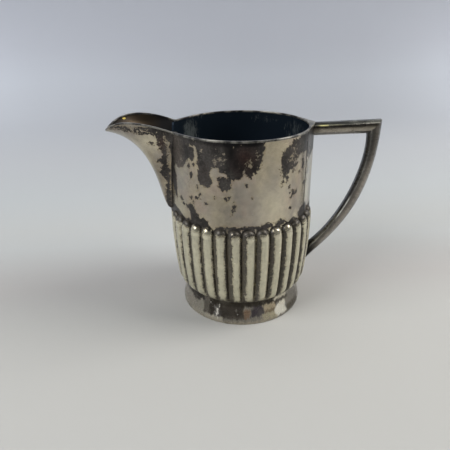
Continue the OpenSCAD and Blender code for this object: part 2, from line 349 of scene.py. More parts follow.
# How far the middle of that clean band is from the crest, as a share of half a reed
clean_shifts = [
    (-180, 0.1), (-146, 0.22), (-135, 0.28), (-123.8, 0.33), (-112.5, 0.18), (-101.3, 0.3), (-90, 0.34),
    (-78.8, 0.28), (-67.5, 0.2), (-56.3, 0.12), (-45, 0.06), (-33.8, 0), (0, 0),
]
# How far down the tarnish comes on the domes, in mm
cap_depths = [
    (-180, 1.2), (-142, 1.2), (-139, 0.3), (-119, 0.3), (-117, 1.1), (-74, 1.1), (-72, 0.3), (-51, 0.3),
    (-49, 1.1), (0, 1.1),
]
# Dark line above the domes, which is higher about its middle
dome_line_h = 0.9
dome_line_higher = 0.5
dome_line_middle = -95
dome_line_reach = 15
# Dark line along the crease by the ridge, and how fast it ends
crease_line_depth = 1.1
crease_line_slope = 1.6
# Height of the dark line above the neck
heel_line_h = 0.35
# Where the reeds come near the domes, and how much wider they are clean there
near_dome_z = 37
near_dome_wider = 0.05
# How much less tarnish there is on a dome's edge than at its foot, in mm
dome_cleaner = 0.4
# How far the tarnish's edges are broken up, where low, wall and broken come on top of the others
ragged_reeds = 0.46
ragged_low = 0.32
ragged_domes = 0.4
ragged_wall = 0.15
ragged_broken = 0.7
low_reed_z = 28
# How much of a groove's dark tone a dome has near its edge
dome_groove_share = 0.6
# Painted shade on the reeds near the domes on the left, and painted highlights on the reeds' right-hand
# edges on the right
upper_painted_shade = 0.45
upper_painted_shade_end = -60
edge_light_start = -88


def side_angle(a):
    """The far side has the same patches as the near one, turned half way round."""
    return np.where(a > 0, a - 180, a)


def look_up(table, a):
    keys, values = zip(*table)
    return np.interp(a, keys, values)


def arc(a):
    return np.radians(a) * wall_r


def outline_depth(x, z, outline):
    """How far in mm a point is inside an outline, negative outside it."""
    nearest = np.full(x.shape, 1e3)
    inside = np.zeros(x.shape, dtype=bool)
    for k, (x1, z1) in enumerate(outline):
        x0, z0 = outline[k - 1]
        dx = x1 - x0
        dz = z1 - z0
        t = clamp(((x - x0) * dx + (z - z0) * dz) / (dx * dx + dz * dz))
        nearest = np.minimum(nearest, np.hypot(x - x0 - t * dx, z - z0 - t * dz))
        if dz:
            inside ^= ((z0 > z) != (z1 > z)) & (x < x0 + (z - z0) * dx / dz)
    return np.where(inside, nearest, -nearest)


def patch_depth(x, z, patches, unit=1.0):
    """How far in mm a point is inside the nearest of some ovals, negative outside them."""
    depth = np.full(np.broadcast(x, z).shape, -1e3)
    for place, height, half_width, half_height in patches:
        reach = np.hypot((x - place) / half_width, (z - height) / half_height)
        depth = np.maximum(depth, (1 - reach) * min(half_height, half_width * unit))
    return depth


def patch_share(x, z, patches):
    """1 in the middle of an oval and 0 outside it, times the oval's strength where it has one."""
    share = np.zeros(np.broadcast(x, z).shape)
    for place, height, half_width, half_height, *strength in patches:
        reach = np.hypot((x - place) / half_width, (z - height) / half_height)
        share = share + (strength[0] if strength else 1) * clamp(1 - reach) ** patch_power
    return np.clip(share, -1, 1)


def wall_tarnish(a, z):
    here = side_angle(a) + 0 * z
    depth = patch_depth(here, z, wall_patches, arc(1))
    for outline in wall_outlines:
        depth = np.maximum(depth, outline_depth(arc(here), z, [(arc(b), h) for b, h in outline]))
    from_crease = np.abs(np.abs(a) - ridge_half_angle)
    return np.maximum(depth, crease_line_depth - crease_line_slope * from_crease * arc(1))


def reed_tarnish(a, z):
    """How far in mm a point lies outside the clean band on its reed, or inside the line at the neck."""
    off = np.abs(reed_across(a) - look_up(clean_shifts, side_angle(a)))
    clean = look_up(clean_shares, side_angle(a))
    heel = heel_line_h - (z - foot_h)
    wider = near_dome_wider * rise(z, near_dome_z, 7)
    return np.maximum((np.minimum(off, 2 - off) - clean - wider) * half_pitch, heel)


def add_marks(piece, x, z, marks):
    for name, patches in marks.items():
        add_values(piece, name, patch_share(x, z, patches))


# Paler places inside the cup
inner_lit = [
    (140, 82.5, 14, 8.5, 1), (24, 83, 17, 8, 0.65), (60, 87.5, 40, 2.5, 0.4), (128, 88.6, 22, 1.6, 0.8),
]
# The spout's outlines and patches, by how far out from the axis they are, and their height
spout_outline = [
    (54.5, 92.3), (50, 91.8), (46, 91.3), (42.5, 91.1), (39, 91.3), (36.2, 90.6), (34.9, 89), (34.3, 86.5),
    (34, 83), (33.9, 79), (33.7, 70), (33.9, 64), (34.1, 58), (34, 51), (37, 51), (36.6, 56),
    (35.9, 62), (35.6, 67), (36.4, 68.8), (38.2, 70), (38.5, 72), (37, 73.2), (36.6, 75.6), (39, 76.6),
    (39.1, 77.7), (36.8, 78.6), (36.4, 81), (37.1, 83), (38.2, 85.6), (37.8, 87.4), (38.6, 89.6),
    (42, 89.9), (46, 90.2), (50, 90.8), (54, 91.2),
]
spout_corner_outline = [
    (41.8, 91.6), (41.4, 92.8), (38, 95), (31, 95), (31, 78), (32.2, 78), (32.4, 83), (32.7, 85.6),
    (33, 87.4), (33.6, 88.6), (34.4, 89.3), (35.4, 90.3), (38, 91),
]
spout_tip_outline = [
    (61, 92.6), (56, 93.4), (52, 93.3), (50, 92.7), (48.8, 91.6), (51, 91.2), (56, 91.5), (61, 91.8),
]
spout_outlines = [spout_outline, spout_corner_outline, spout_tip_outline]
spout_patches = [(40.6, 85.6, 1, 0.6), (45, 92.7, 2, 0.4)]
spout_marks = {
    "worn": [(44, 91, 8, 1.2, 0.6), (36.6, 85.8, 1.8, 3.6, 0.5)],
    "red": [(36.4, 85.8, 2.4, 4.2, 0.8)],
    "black": [(36.2, 74, 2, 10, 0.6), (46, 90.8, 8, 0.9, 0.7)],
    # A film below zero is painted light that makes the silver brighter
    "film": [
        (46, 93.6, 14, 2.2, 0.7), (40, 92.8, 5, 2.4, 0.9), (33.6, 74, 2, 40), (34, 90, 3, 3, 0.9),
        (43, 86, 7, 5.5, -0.8), (38.6, 70, 4, 11, 0.9), (57, 91, 8, 3, 0.7),
    ],
    "speck": [(44, 91, 10, 3, 0.5), (36, 70, 3, 20, 0.4)],
    "pale": [(36.6, 85.8, 2.4, 4.2, 0.1)],
}
# Glint inside the tip
spout_glint = [(54.2, 93.2, 0.9, 0.7)]
# How far the patches are moved out on the far side, and the dark line beside the seam
spout_far_shift = 2
seam_line_half = 0.45
# How far the tarnish's edges are broken up at the seam, and how much more away from it
ragged_seam = 0.1
ragged_spout = 0.65
# How brown the trough is at its inner end
least_brown = 0.25


# Materials

def srgb(*rgb):
    return [((c / 255 + 0.055) / 1.055) ** 2.4 for c in rgb]


class Graph:
    """A small helper that writes a material's nodes."""

    def __init__(self, name):
        self.material = bpy.data.materials.new(name)
        self.material.use_nodes = True
        self.tree = self.material.node_tree
        self.tree.nodes.clear()
        self.surface = self.add("BsdfPrincipled")
        out = self.add("OutputMaterial")
        self.tree.links.new(self.surface.outputs[0], out.inputs[0])
        self.place = self.add("TexCoord").outputs["Object"]

    def add(self, kind, inputs=None, **settings):
        node = self.tree.nodes.new("ShaderNode" + kind)
        for key, value in settings.items():
            setattr(node, key, value)
        for name, value in (inputs or {}).items():
            self.feed(node.inputs[name], value)
        return node

    def feed(self, socket, value):
        """A text stands for the piece's values of that name."""
        if isinstance(value, str):
            value = self.add("Attribute", attribute_name=value).outputs["Fac"]
        if isinstance(value, bpy.types.NodeSocket):
            self.tree.links.new(value, socket)
        elif socket.type == "RGBA":
            socket.default_value = (*value, 1)
        else:
            socket.default_value = value

    def set(self, name, value):
        self.feed(self.surface.inputs[name], value)

    def math(self, operation, a, b=0.0, c=0.0, use_clamp=False):
        node = self.add("Math", operation=operation, use_clamp=use_clamp)
        for socket, value in zip(node.inputs, (a, b, c)):
            self.feed(socket, value)
        return node.outputs[0]

    def times(self, a, b, plus=None):
        if plus is None:
            return self.math("MULTIPLY", a, b)
        return self.math("MULTIPLY_ADD", a, b, plus)

    def mix(self, factor, a, b):
        node = self.add("Mix", {"Factor": factor, "A": a, "B": b}, data_type="RGBA")
        return node.outputs["Result"]

    def colours(self, name):
        return self.add("Attribute", attribute_name=name).outputs["Color"]

    def noise(self, size, detail, seed, roughness=0.55, stretch=(1, 1, 1)):
        """Noise from 0 to 1 whose lumps are about this many mm across."""
        mapping = self.add("Mapping", {
            "Vector": self.place, "Location": (seed, seed / 2, seed / 3),
            "Scale": [1 / (size * MM * s) for s in stretch]})
        node = self.add("TexNoise", {
            "Vector": mapping.outputs[0], "Scale": 1, "Detail": detail, "Roughness": roughness})
        return node.outputs["Fac"]

    def ramp(self, value, tones):
        node = self.add("ValToRGB", {"Fac": value})
        stops = node.color_ramp.elements
        while len(stops) < len(tones):
            stops.new(1)
        for stop, (place, colour) in zip(stops, tones):
            stop.position = place
            stop.color = (*colour, 1)
        return node.outputs["Color"]

    def step(self, value, low, high):
        limits = {"Value": value, "From Min": low, "From Max": high}
        return self.add("MapRange", limits, interpolation_type="SMOOTHSTEP").outputs["Result"]

    def bump(self, height, distance, normal=None):
        node = self.add("Bump", {"Height": height, "Distance": distance * MM})
        if normal:
            self.feed(node.inputs["Normal"], normal)
        return node.outputs[0]


clean_silver = srgb(197, 186, 162)
grey_silver = srgb(176, 168, 156)
rosy_silver = srgb(188, 173, 158)
painted_light_silver = srgb(238, 229, 202)
reed_silver = srgb(218, 213, 188)
dark_tarnish = srgb(97, 93, 90)
black_tarnish = srgb(36, 35, 36)
red_tarnish = srgb(78, 60, 56)
groove_tarnish = srgb(93, 86, 71)
pale_tarnish = srgb(150, 138, 126)
# Colour of the painted highlight inside the spout's tip
painted_glint_yellow = srgb(252, 226, 120)
gold_fringe = srgb(150, 130, 92)
inner_black = srgb(28, 37, 46)
# Tone of the paler places inside the cup
inner_pale_tone = srgb(92, 98, 98)
inner_tint = (0.15, 0.16, 0.18)
trough_brown = srgb(92, 80, 66)
wire_dark = srgb(66, 65, 64)
wire_bright = srgb(150, 147, 138)
foot_grey = srgb(150, 145, 136)
foot_bloom = srgb(190, 184, 172)
foot_sparkle = srgb(246, 242, 234)
solder_dark = srgb(40, 38, 36)
base_dull = srgb(84, 81, 76)
base_dark = srgb(54, 52, 51)
paper_cloud = srgb(176, 178, 180)

# Lumps that break up the edges of the patches: size in mm, reach in mm, seed
ragged_lumps = ((5.0, 2.2, 3), (1.7, 4.2, 11), (0.75, 4.6, 17))
# Softness of a patch's edge, and where the gold fringe lies, in mm
edge_soft = 0.12
fringe_reach = (-0.6, -0.1)
# Noise levels where dark specks, bare silver and the foot's sparkles show
speck_levels = (0.85, 0.88)
bare_levels = (0.64, 0.7)
sparkle_levels = (0.67, 0.71)
# Relief in mm, and how much rougher the scratches are
dent_depth = 0.35
pit_depth = 0.018
tarnish_depth = 0.03
scratch_rough = 0.1


def ragged(graph, depth):
    """How far inside a patch a point lies, after its edge is broken up."""
    shift = 0.0
    for size, reach, seed in ragged_lumps:
        lumps = graph.math("SUBTRACT", graph.noise(size, detail=2, roughness=0.6, seed=seed), 0.5)
        shift = graph.times(lumps, reach, shift)
    return graph.times(shift, "ragged", depth)


def silver_colours(graph):
    warm = graph.step(graph.noise(16, detail=2, seed=5), 0.38, 0.62)
    rosy = graph.step(graph.noise(11, detail=2, seed=21), 0.5, 0.7)
    mottle = graph.step(graph.noise(2.4, detail=5, roughness=0.7, seed=31), 0.3, 0.7)
    base = graph.mix(warm, grey_silver, clean_silver)
    base = graph.mix(graph.times(rosy, 0.85), base, rosy_silver)
    base = graph.mix("groove", base, reed_silver)
    # Where the film is below zero, painted light mixes the silver towards a brighter tone
    base = graph.mix(graph.math("MULTIPLY", "film", -1, use_clamp=True), base, painted_light_silver)
    cover = graph.times(mottle, -0.24, 0.22)
    cover = graph.times(graph.math("MAXIMUM", "film", 0), 0.42, cover)
    return graph.mix(cover, base, dark_tarnish)


def tarnish_colours(graph, depth):
    cloud = graph.step(graph.noise(7, detail=4, seed=41), 0.42, 0.66)
    fine = graph.step(graph.noise(0.9, detail=3, roughness=0.7, seed=61), 0.35, 0.7)
    base = graph.mix(graph.times(cloud, 0.5), dark_tarnish, black_tarnish)
    base = graph.mix("pale", base, pale_tarnish)
    base = graph.mix("red", base, red_tarnish)
    base = graph.mix("black", base, black_tarnish)
    inside = graph.step(depth, 0.05, 0.5)
    groove = graph.mix(inside, black_tarnish, groove_tarnish)
    groove = graph.mix(graph.times("red", 0.4), groove, red_tarnish)
    base = graph.mix("groove", base, groove)
    grain = graph.times("groove", 0.15, 0.42)
    return graph.mix(graph.times(graph.math("SUBTRACT", 1, fine), grain), base, black_tarnish)


def finish_metal(graph, colour, mask, smooth, dull):
    """Dented and scratched metal, smooth where the mask is 0 and dull where it is 1."""
    scratches = graph.noise(0.5, detail=3, stretch=(9, 9, 1), seed=71)
    dents = graph.noise(11, detail=1, seed=81)
    pits = graph.noise(0.9, detail=4, roughness=0.7, seed=91)
    rough = graph.times(mask, dull - smooth, smooth)
    graph.set("Roughness", graph.times(scratches, scratch_rough, rough))
    graph.set("Base Color", colour)
    graph.set("Metallic", 1.0)
    normal = graph.bump(dents, dent_depth)
    normal = graph.bump(pits, pit_depth, normal=normal)
    graph.set("Normal", graph.bump(mask, tarnish_depth, normal=normal))
    return graph.material


def shell_material():
    graph = Graph("shell_silver")
    depth = ragged(graph, "tarnish")
    mask = graph.step(depth, -edge_soft, edge_soft)
    specks = graph.noise(0.9, detail=3, roughness=0.65, seed=101)
    clumps = graph.noise(9, detail=2, seed=107)
    specks = graph.times("speck", 0.19, specks)
    dark_specks = graph.step(graph.times(clumps, 0.25, specks), *speck_levels)
    mask = graph.math("MAXIMUM", mask, graph.times(dark_specks, 0.85))
    bare = graph.noise(1.3, detail=4, roughness=0.7, seed=113)
    shine = graph.step(graph.times("worn", 0.2, bare), *bare_levels)
    mask = graph.times(mask, graph.times(shine, -0.75, 1))
    fringe = graph.math("SUBTRACT", graph.step(depth, *fringe_reach), mask, use_clamp=True)
    colour = graph.mix(graph.times(fringe, 0.4), silver_colours(graph), gold_fringe)
    colour = graph.mix(mask, colour, tarnish_colours(graph, depth))
    material = finish_metal(graph, colour, mask, 0.2, 0.36)
    covered = graph.times(mask, 0.5, 0.4)
    dull = graph.times("groove", covered)
    graph.set("Metallic", graph.math("SUBTRACT", 1, dull))
    return material


def inner_material():
    graph = Graph("inner_silver")
    cloud = graph.noise(6, detail=4, roughness=0.65, seed=7)
    streaks = graph.noise(1.2, detail=5, roughness=0.75, stretch=(1, 1, 2.5), seed=17)
    lit = graph.times("lit", 0.4, graph.times(cloud, 0.4))
    # Paler streaks inside the cup, stronger where the lit places are
    pale_streaks = graph.step(graph.times(streaks, 0.8, lit), 0.72, 0.95)
    glint = graph.step("glint", 0.2, 0.5)
    colour = graph.mix("brown", inner_black, trough_brown)
    colour = graph.mix(pale_streaks, colour, inner_pale_tone)
    # Painted highlight: a bright yellow spot where the glint lies inside the tip
    colour = graph.mix(glint, colour, painted_glint_yellow)
    material = finish_metal(graph, colour, pale_streaks, 0.3, 0.42)
    metal = graph.times("brown", 0.6, 0.35)
    graph.set("Metallic", graph.math("SUBTRACT", metal, glint, use_clamp=True))
    graph.set("Specular Tint", graph.mix("brown", inner_tint, (1, 1, 1)))
    graph.set("Specular IOR Level", 0.3)
    return material


def wire_material():
    graph = Graph("wire_silver")
    worn = graph.step(graph.noise(6, detail=4, seed=9), 0.4, 0.6)
    material = finish_metal(graph, graph.mix(worn, wire_dark, wire_bright), worn, 0.24, 0.3)
    graph.set("Metallic", 0.7)
    return material


def foot_material():
    graph = Graph("foot_silver")
    stain = graph.step(graph.noise(3.5, detail=5, roughness=0.7, seed=19), 0.45, 0.7)
    colour = graph.mix(graph.times(stain, 0.25), graph.colours("tone"), black_tarnish)
    pale = graph.step(graph.noise(6, detail=3, seed=47), 0.5, 0.7)
    colour = graph.mix(graph.times(pale, 0.12), colour, foot_bloom)
    sparkle = graph.noise(1, detail=4, roughness=0.7, stretch=(1, 1, 2.4), seed=13)
    lit = graph.times("worn", 0.2, sparkle)
    colour = graph.mix(graph.step(lit, *sparkle_levels), colour, foot_sparkle)
    return finish_metal(graph, colour, stain, 0.2, 0.3)


def handle_material(name, tones, ridge_at):
    """Tones, with painted shade on the facets and painted highlights on the ridges, run across the bar
    from its inner side to its outer side. Glints lie along one ridge.
    """
    graph = Graph(name)
    wander = graph.math("SUBTRACT", graph.noise(7, detail=3, seed=53), 0.5)
    across = graph.times(wander, 0.05, "across")
    film = graph.step(graph.noise(9, detail=3, seed=23), 0.35, 0.65)
    spots = graph.step(graph.noise(1.6, detail=5, roughness=0.7, seed=29), 0.5, 0.62)
    colour = graph.ramp(across, [(share, srgb(*rgb)) for share, *rgb in tones])
    colour = graph.mix(graph.times(film, 0.16), colour, black_tarnish)
    colour = graph.mix(graph.times(spots, 0.3), colour, black_tarnish)
    colour = graph.mix("corner_shade", colour, black_tarnish)
    from_ridge = graph.math("ABSOLUTE", graph.math("SUBTRACT", across, ridge_at))
    near_ridge = graph.step(from_ridge, 0.07, 0.03)
    glint = graph.times(near_ridge, "glint")
    colour = graph.mix(glint, colour, graph.colours("glint_tone"))
    colour = graph.mix("solder", colour, solder_dark)
    material = finish_metal(graph, colour, film, 0.16, 0.26)
    graph.set("Metallic", graph.times(glint, -0.8, 1))
    return material


def base_material():
    graph = Graph("base_silver")
    stain = graph.step(graph.noise(10, detail=4, seed=37), 0.4, 0.6)
    return finish_metal(graph, graph.mix(stain, base_dull, base_dark), stain, 0.34, 0.45)


def paper_material():
    graph = Graph("paper")
    cloud = graph.times(graph.noise(160, detail=2, seed=43), 0.12)
    graph.set("Base Color", graph.mix(cloud, graph.colours("tone"), paper_cloud))
    graph.set("Roughness", 0.75)
    graph.set("Specular IOR Level", 0.2)
    return graph.material


# Pieces

# Above 1, the reeds' rows of points lie closer together near the neck
reed_rows_power = 1.3
# The domes' section: 2 would be round, and more is squarer
dome_power = 2.4
# Depth of the flutes inside, as a share of the reeds' depth
flute_share = 0.7


def make_body(shell, inner):
    # Counts of columns and rows, which keep the piece under 196000 triangles
    columns = reeds * 20
    straight = 28
    dome = 18
    seat = 4
    wall = 79
    inner_wall = 14
    flute = 10
    turn = np.arange(columns) * 360 / columns
    a = np.where(turn > 180, turn - 360, turn)[:, None]
    u = reed_u(a)

    up = np.linspace(0, 1, straight) ** reed_rows_power
    z_reed = np.repeat(mix(foot_h, dome_foot_z, up)[None, :], columns, 0)
    r_reed = reed_r(u, z_reed, reed_depth)
    g = sin(90 * np.linspace(0, 1, dome + 1)[1:])[None, :]
    z_dome = mix(dome_foot_z, dome_edge_z(u), g)
    stand_out = (1 - g ** dome_power) ** (1 / dome_power)
    r_dome = mix(wall_plan(a, z_dome), reed_r(u, dome_foot_z, reed_depth), stand_out)
    seat_z = reed_top_z + sheet_t
    z_seat = mix(dome_edge_z(u), seat_z, np.linspace(0, 1, seat + 1)[None, 1:])
    z_wall = mix(seat_z, edge_z(a), np.linspace(0, 1, wall + 1)[None, 1:])
    z_plain = np.concatenate([z_seat, z_wall], 1)
    r_plain = wall_plan(a, z_plain)

    z_in = mix(edge_z(a), reed_top_z, np.linspace(0, 1, inner_wall)[None, :])
    r_in = wall_plan(a, z_in) - sheet_t
    z_flute = np.repeat(mix(dome_foot_z, foot_h, np.linspace(0, 1, flute)[None, :]), columns, 0)
    r_flute = reed_r(u, z_flute, flute_share * reed_depth) - sheet_t - crease_dip
    r_flute[:, -1] = neck_r - sheet_t

    z = np.concatenate([z_reed, z_dome, z_plain, z_in, z_flute], 1)
    r = np.concatenate([r_reed, r_dome, r_plain, r_in, r_flute], 1)
    rows = z.shape[1]
    points = turned(a, r, z)
    faces = grid_faces(columns, rows, True, True)
    outer_rows = straight + dome + seat + wall
    face_materials = [int(outer_rows - 1 <= k % rows < rows - 1) for k in range(len(faces))]
    piece = make_piece("body_shell", points, faces, ["body"], [shell, inner], 60,
                       face_materials)
    mark_body(piece, a, g, (z_reed, z_dome, z_plain), z)


def mark_body(piece, a, g, outer_z, z):
    """The body's tarnish. g is 0 at the foot of a dome and 1 at its edge."""
    z_reed, z_dome, z_plain = outer_z
    side = side_angle(a)
    here = side + 0 * z
    inside = np.zeros((len(a), z.shape[1] - sum(part.shape[1] for part in outer_z)))

    def add_rows(name, *parts):
        add_values(piece, name, np.concatenate([*parts, inside], 1))

    cap = look_up(cap_depths, side) - (1 - g) * half_pitch
    on_dome = np.maximum(reed_tarnish(a, z_dome) - dome_cleaner * g, cap)
    line_share = clamp(2 - np.abs(side - dome_line_middle) / dome_line_reach)
    line = dome_line_h + dome_line_higher * line_share - (z_plain - dome_edge_z(reed_u(a)))
    on_plain = np.maximum(wall_tarnish(a, z_plain), line)
    add_rows("tarnish", reed_tarnish(a, z_reed), on_dome, on_plain)

    on_reeds = ragged_reeds + ragged_low * fall(z_reed, low_reed_z, 12)
    broken = ragged_broken * patch_share(side + 0 * z_plain, z_plain, broken_patches)
    on_plain = rise(z_plain, reed_top_z + sheet_t, 3) * ragged_wall + ragged_domes + broken
    on_dome = np.full_like(z_dome, ragged_domes)
    add_rows("ragged", on_reeds, on_dome, on_plain)

    on_dome = mix(dome_groove_share, 1, clamp(2 - 4 * g)) + 0 * z_dome
    add_rows("groove", 1 + 0 * z_reed, on_dome, 0 * z_plain)

    # The reeds' film is painted light: shade near the domes on the left, and highlights on their
    # right-hand edges
    upper = upper_painted_shade * rise(z, near_dome_z, 11) * (here < upper_painted_shade_end)
    edge_light = rise(reed_across(a), 0.2, 0.4) * rise(here, edge_light_start, 14)
    on_wall = patch_share(here, z, film_and_light_patches)
    add_values(piece, "film", np.where(z > dome_foot_z, on_wall, upper - edge_light))
    add_marks(piece, here, z, wall_marks)
    add_values(piece, "lit", patch_share(a + 0 * z, z, inner_lit))


def lathe(name, profile, node, material, columns):
    a = np.arange(columns)[:, None] * 360 / columns
    r = np.array([p[0] for p in profile])[None, :]
    z = np.repeat(np.array([p[1] for p in profile])[None, :], columns, 0)
    faces = grid_faces(columns, len(profile), True, True)
    return make_piece(name, turned(a, r, z), faces, [node], [material], 30)


# Areas of the foot's tarnish, painted reflections and painted highlights, painted in this order: from and
# to angle, from and to height, and colour
foot_tarnish_and_reflection_areas = [
    (-181, -131, 0, 9.4, 188, 182, 170), (-181, -126, 9.2, 13, 72, 68, 64),
    (-151, -140, 7.6, 9.4, 92, 88, 83), (-134, -126, 3, 13, 124, 118, 110),
    (-127, -93, 2.8, 13, 76, 71, 66), (-122, -116, 2, 8.6, 112, 109, 106),
    (-93.2, -86.8, 3, 7.8, 142, 120, 102), (-86, -73.5, 3.8, 13, 76, 71, 76),
    (-74, -61, 6.2, 9.6, 190, 176, 150), (-74, -61, 4.6, 6.2, 140, 126, 104),
    (-76, -60, 0, 4.6, 188, 180, 156), (-128, -62, 9.2, 13, 62, 58, 52),
    (-62, -44, 8.2, 10.2, 98, 93, 85), (-61, -47.5, 1.4, 7, 254, 250, 238),
    (-56.5, -48, 6, 8.2, 252, 246, 230), (-63, -47, 10.3, 11.5, 232, 224, 204),
    (-46, -24, 0.6, 4.4, 108, 102, 92), (-150, -112, -1, 3, 204, 197, 182),
    (-112, -60, -1, 1.5, 178, 170, 154), (-112, -94, 3.2, 4.2, 96, 90, 84),
]
# How far the areas' edges wander, and how softly they end, in degrees and in mm
foot_wander = (1.9, 0.9)
foot_soft = (1.4, 0.8)
# How strong the areas are on the far side
foot_far_share = 0.45
foot_worn = [(-118.5, 6, 4, 6), (-124, 9, 5, 4, 0.5), (-57, 6, 6, 4, 0.3), (-134, 10.6, 5, 1.5, 0.7)]


def wobble(a, z):
    """A smooth wander from -1 to 1 along the foot."""
    turn = np.radians(a)
    waves = ((17, 0.5, 0), (31, -0.9, 1.3), (53, 1.4, 2.1), (71, -0.3, 4))
    return sum(np.sin(k * turn + h * z + start) for k, h, start in waves) / len(waves)


def between(x, low, high, soft):
    return clamp((x - low) / soft + 0.5) * clamp((high - x) / soft + 0.5)


def make_foot(material):
    curve = [(mix(neck_r, foot_r, (1 - s) ** foot_hollow_power), mix(foot_edge_h, foot_h, s))
             for s in np.linspace(0, 1, 26)]
    flange_r = neck_r - flange_w
    flange_z = foot_h - sheet_t
    profile = [(foot_r - foot_round, 0), (foot_r - foot_round / 3, foot_round / 3), (foot_r, foot_round)]
    profile += [(foot_r, foot_edge_h - foot_round)] + curve
    profile += [(flange_r, foot_h), (flange_r, flange_z)]
    profile += [(r - sheet_t, min(z, flange_z)) for r, z in reversed(curve)]
    profile += [(foot_r - sheet_t, 0)]
    piece = lathe("foot_turned", profile, "foot_ring", material, 480)
    x, y, z = np.array([v.co[:] for v in piece.data.vertices]).T / MM
    here = -np.abs(np.degrees(np.arctan2(y, x)))
    a = here + foot_wander[0] * wobble(here, z)
    h = z + foot_wander[1] * wobble(z + 3 * here, here / 9)
    tones = np.tile(np.array(foot_grey), (len(z), 1))
    strength = np.where(y > 0, foot_far_share, 1)
    for a0, a1, z0, z1, *rgb in foot_tarnish_and_reflection_areas:
        share = between(a, a0, a1, foot_soft[0]) * between(h, z0, z1, foot_soft[1])
        tones = mix(tones, np.array(srgb(*rgb)), (share * strength)[:, None])
    add_colours(piece, "tone", tones)
    add_values(piece, "worn", patch_share(here, z, foot_worn))


def soft_section(low_r, high_r, low_z, high_z, rounding):
    """Corners of a wire's section from its inner foot round to its outer foot, with its top rounded."""
    turns = np.linspace(0, 90, 5)
    inner = [(low_r + rounding * (1 - cos(t)), high_z - rounding * (1 - sin(t))) for t in turns]
    outer = [(high_r - rounding * (1 - sin(t)), high_z - rounding * (1 - cos(t))) for t in turns]
    return [(low_r, low_z)] + inner + outer + [(high_r, low_z)]


def loft(name, rings, node, material, sharp=40):
    """A closed bar through rings of points, with a flat face at each end."""
    faces = grid_faces(len(rings), len(rings[0]), False, True) + end_faces(rings)
    return make_piece(name, np.concatenate(rings), faces, [node], [material], sharp)


def make_rim(material):
    end = 180 - seam_top_angle - wall_angle(joint)
    rings = []
    for a in np.linspace(-end, end, 421):
        plan = float(wall_plan(a, rim_z))
        inner = mouth_r if abs(a) < 90 else plan - sheet_t
        profile = soft_section(inner, plan + rim_over, wall_top_z, rim_z, rim_round)
        rings.append(np.array([(r * cos(a), r * sin(a), z) for r, z in profile]))
    loft("rim_wire_round", rings, "rim_wire", material)


# Spout, as in the CAD part: rows from the wall's seam to the keel, drawn up to the lip
guide_step = 1 / 18
spout_foot_z = reed_top_z + spout_start
tip_z = rim_z - tip_drop
keel_foot_x = float(wall_plan(180, spout_foot_z)) + sheet_t
keel_edge = sheet_t / 3
keel_tip_z = tip_z - lip_h - keel_edge
keel = np.array([
    (keel_foot_x, spout_foot_z),
    (mix(keel_foot_x, tip_x, 0.15), mix(spout_foot_z, keel_tip_z, 0.1)),
    (mix(keel_foot_x, tip_x, 0.12), mix(spout_foot_z, keel_tip_z, 0.89)),
    (tip_x, keel_tip_z),
])
corner_r = float(wall_plan(180 - seam_top_angle, rim_z)) + joint
corner_x = corner_r * cos(seam_top_angle)
corner_y = corner_r * sin(seam_top_angle)
lip = np.array([
    (corner_x, corner_y, rim_z),
    (mix(corner_x, tip_x, 0.88), 1.05 * corner_y, rim_z + lip_arch),
    (tip_x, corner_y / 6, tip_z - lip_arch / 6),
    (tip_x, 0, tip_z),
])


def seam_point(z, inset):
    a = mix(seam_foot_angle, seam_top_angle, float(wall_rise(z)))
    b = max(a - wall_angle(inset), a / 4)
    r = float(wall_plan(180 - b, z)) + joint
    return r * cos(b), r * sin(b)


def spout_point(t, v, inset):
    lip_at = bezier(lip, 1 - v)
    along = tangent(keel, t, guide_step / 4)
    normal = np.array([-along[1], along[0]]) / np.hypot(*along)
    nose = bezier(keel, t) + normal * mix(inset, inset * keel_edge / sheet_t, t ** 4)
    edge = keel_edge * min(1, 4 * v) if inset == 0 else 0
    z = nose[1] + t ** 5 * (lip_at[2] - tip_z + edge)
    seam_x, seam_y = seam_point(z, inset)
    run_share = (tip_x - lip_at[0]) / (tip_x - corner_x)
    return -mix(nose[0], seam_x, run_share), seam_y * lip_at[1] / corner_y, z


def make_spout(shell, inner):
    rows = 56
    columns = 48
    rings = []
    for j in range(columns, -columns - 1, -1):
        v = abs(j) / columns
        side = 1 if j >= 0 else -1
        outside = [spout_point(k / rows, v, 0) for k in range(rows + 1)]
        inside = [spout_point(k / rows, v, sheet_t) for k in range(rows, -1, -1)]
        rings.append(np.array([(x, side * y, z) for x, y, z in outside + inside]))
    count = len(rings[0])
    faces = grid_faces(len(rings), count, False, True)
    face_materials = [int(k % count > rows) for k in range(len(faces))]
    piece = make_piece("spout_beak", np.concatenate(rings), faces + end_faces(rings), ["spout"],
                       [shell, inner], 50, face_materials + [0, 0])
    x, y, z = np.concatenate(rings).T
    out = -x
    seam = np.array([seam_point(h, 0) for h in z])
    from_seam = np.hypot(out - seam[:, 0], np.abs(y) - seam[:, 1])
    shift = np.where(y > 0, spout_far_shift, 0)
    depth = patch_depth(out - shift, z, spout_patches)
    for outline in spout_outlines:
        depth = np.maximum(depth, outline_depth(out - shift, z, outline))
    add_values(piece, "tarnish", np.maximum(depth, seam_line_half - from_seam))
    add_values(piece, "ragged", ragged_seam + ragged_spout * rise(from_seam, 0.6, 1))
    add_marks(piece, out, z, spout_marks)
    add_values(piece, "brown", mix(least_brown, 1, rise(out, 37, 8)) * fall(out, 62, 12))
    add_values(piece, "glint", patch_share(out, z, spout_glint) * (y > 0))


